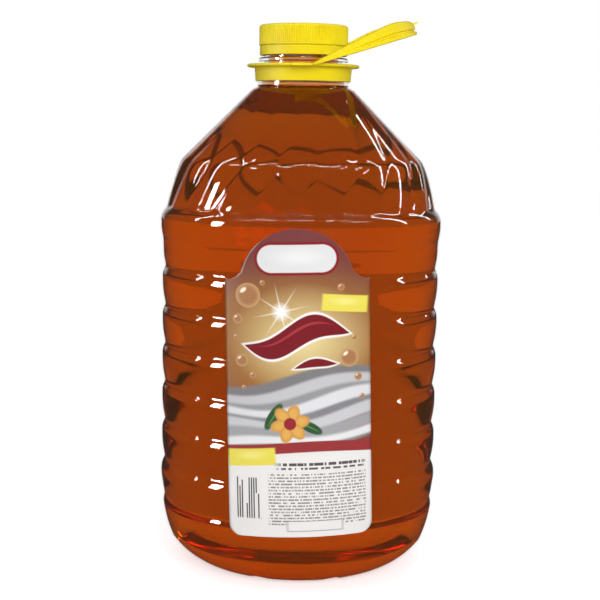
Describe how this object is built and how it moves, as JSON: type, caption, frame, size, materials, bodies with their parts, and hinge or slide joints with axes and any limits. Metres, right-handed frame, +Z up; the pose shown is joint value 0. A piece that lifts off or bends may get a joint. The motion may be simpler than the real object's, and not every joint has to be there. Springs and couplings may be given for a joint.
{
  "type": "dish soap bottle",
  "caption": "Large round clear bottle of orange dish soap with hooped body, swirled shoulder, yellow screw cap, tamper band, swinging carry handle and arched front label.",
  "frame": {"origin": "centre of the standing ring, on the surface the bottle stands on", "axes": "+Z up the neck, -Y out of the front label, +X to the side where the handle leans"},
  "size_m": [0.1666, 0.1667, 0.324],
  "materials": {
    "clear_pet": "clear blown PET, glossy",
    "orange_soap": "clear orange-brown liquid",
    "yellow_plastic": "moulded polyethylene, satin to glossy",
    "liner_foam": "white foamed polyethylene",
    "printed_film": "printed polypropylene film"
  },
  "bodies": {
    "bottle": {"bottle": "clear_pet", "detergent": "orange_soap", "tamper_band": "yellow_plastic", "front_label": "printed_film"},
    "cap_carrier": {"cap_liner": "liner_foam"},
    "cap": {"cap": "yellow_plastic"},
    "collar": {"handle_collar": "yellow_plastic"},
    "bail": {"handle_bail": "yellow_plastic"}
  },
  "joints": [
    {"name": "cap_lift", "type": "slide", "parent": "bottle", "child": "cap_carrier", "axis": [0, 0, 1], "range_m": [0, 0.012]},
    {"name": "cap_turn", "type": "hinge", "parent": "cap_carrier", "child": "cap", "pos_m": [0, 0, 0.314], "axis": [0, 0, 1], "range_deg": [0, 360]},
    {"name": "collar_turn", "type": "hinge", "parent": "bottle", "child": "collar", "pos_m": [0, 0, 0.296], "axis": [0, 0, 1], "continuous": true},
    {"name": "handle_swing", "type": "hinge", "parent": "collar", "child": "bail", "pos_m": [0.00179, 0.00018, 0.2962], "axis": [0.1028, -0.9947, 0], "range_deg": [-21.5, 68.5]}
  ],
  "couplings": [
    {"joint": "cap_lift", "follows": "cap_turn", "m_per_rad": 0.0019098}
  ]
}
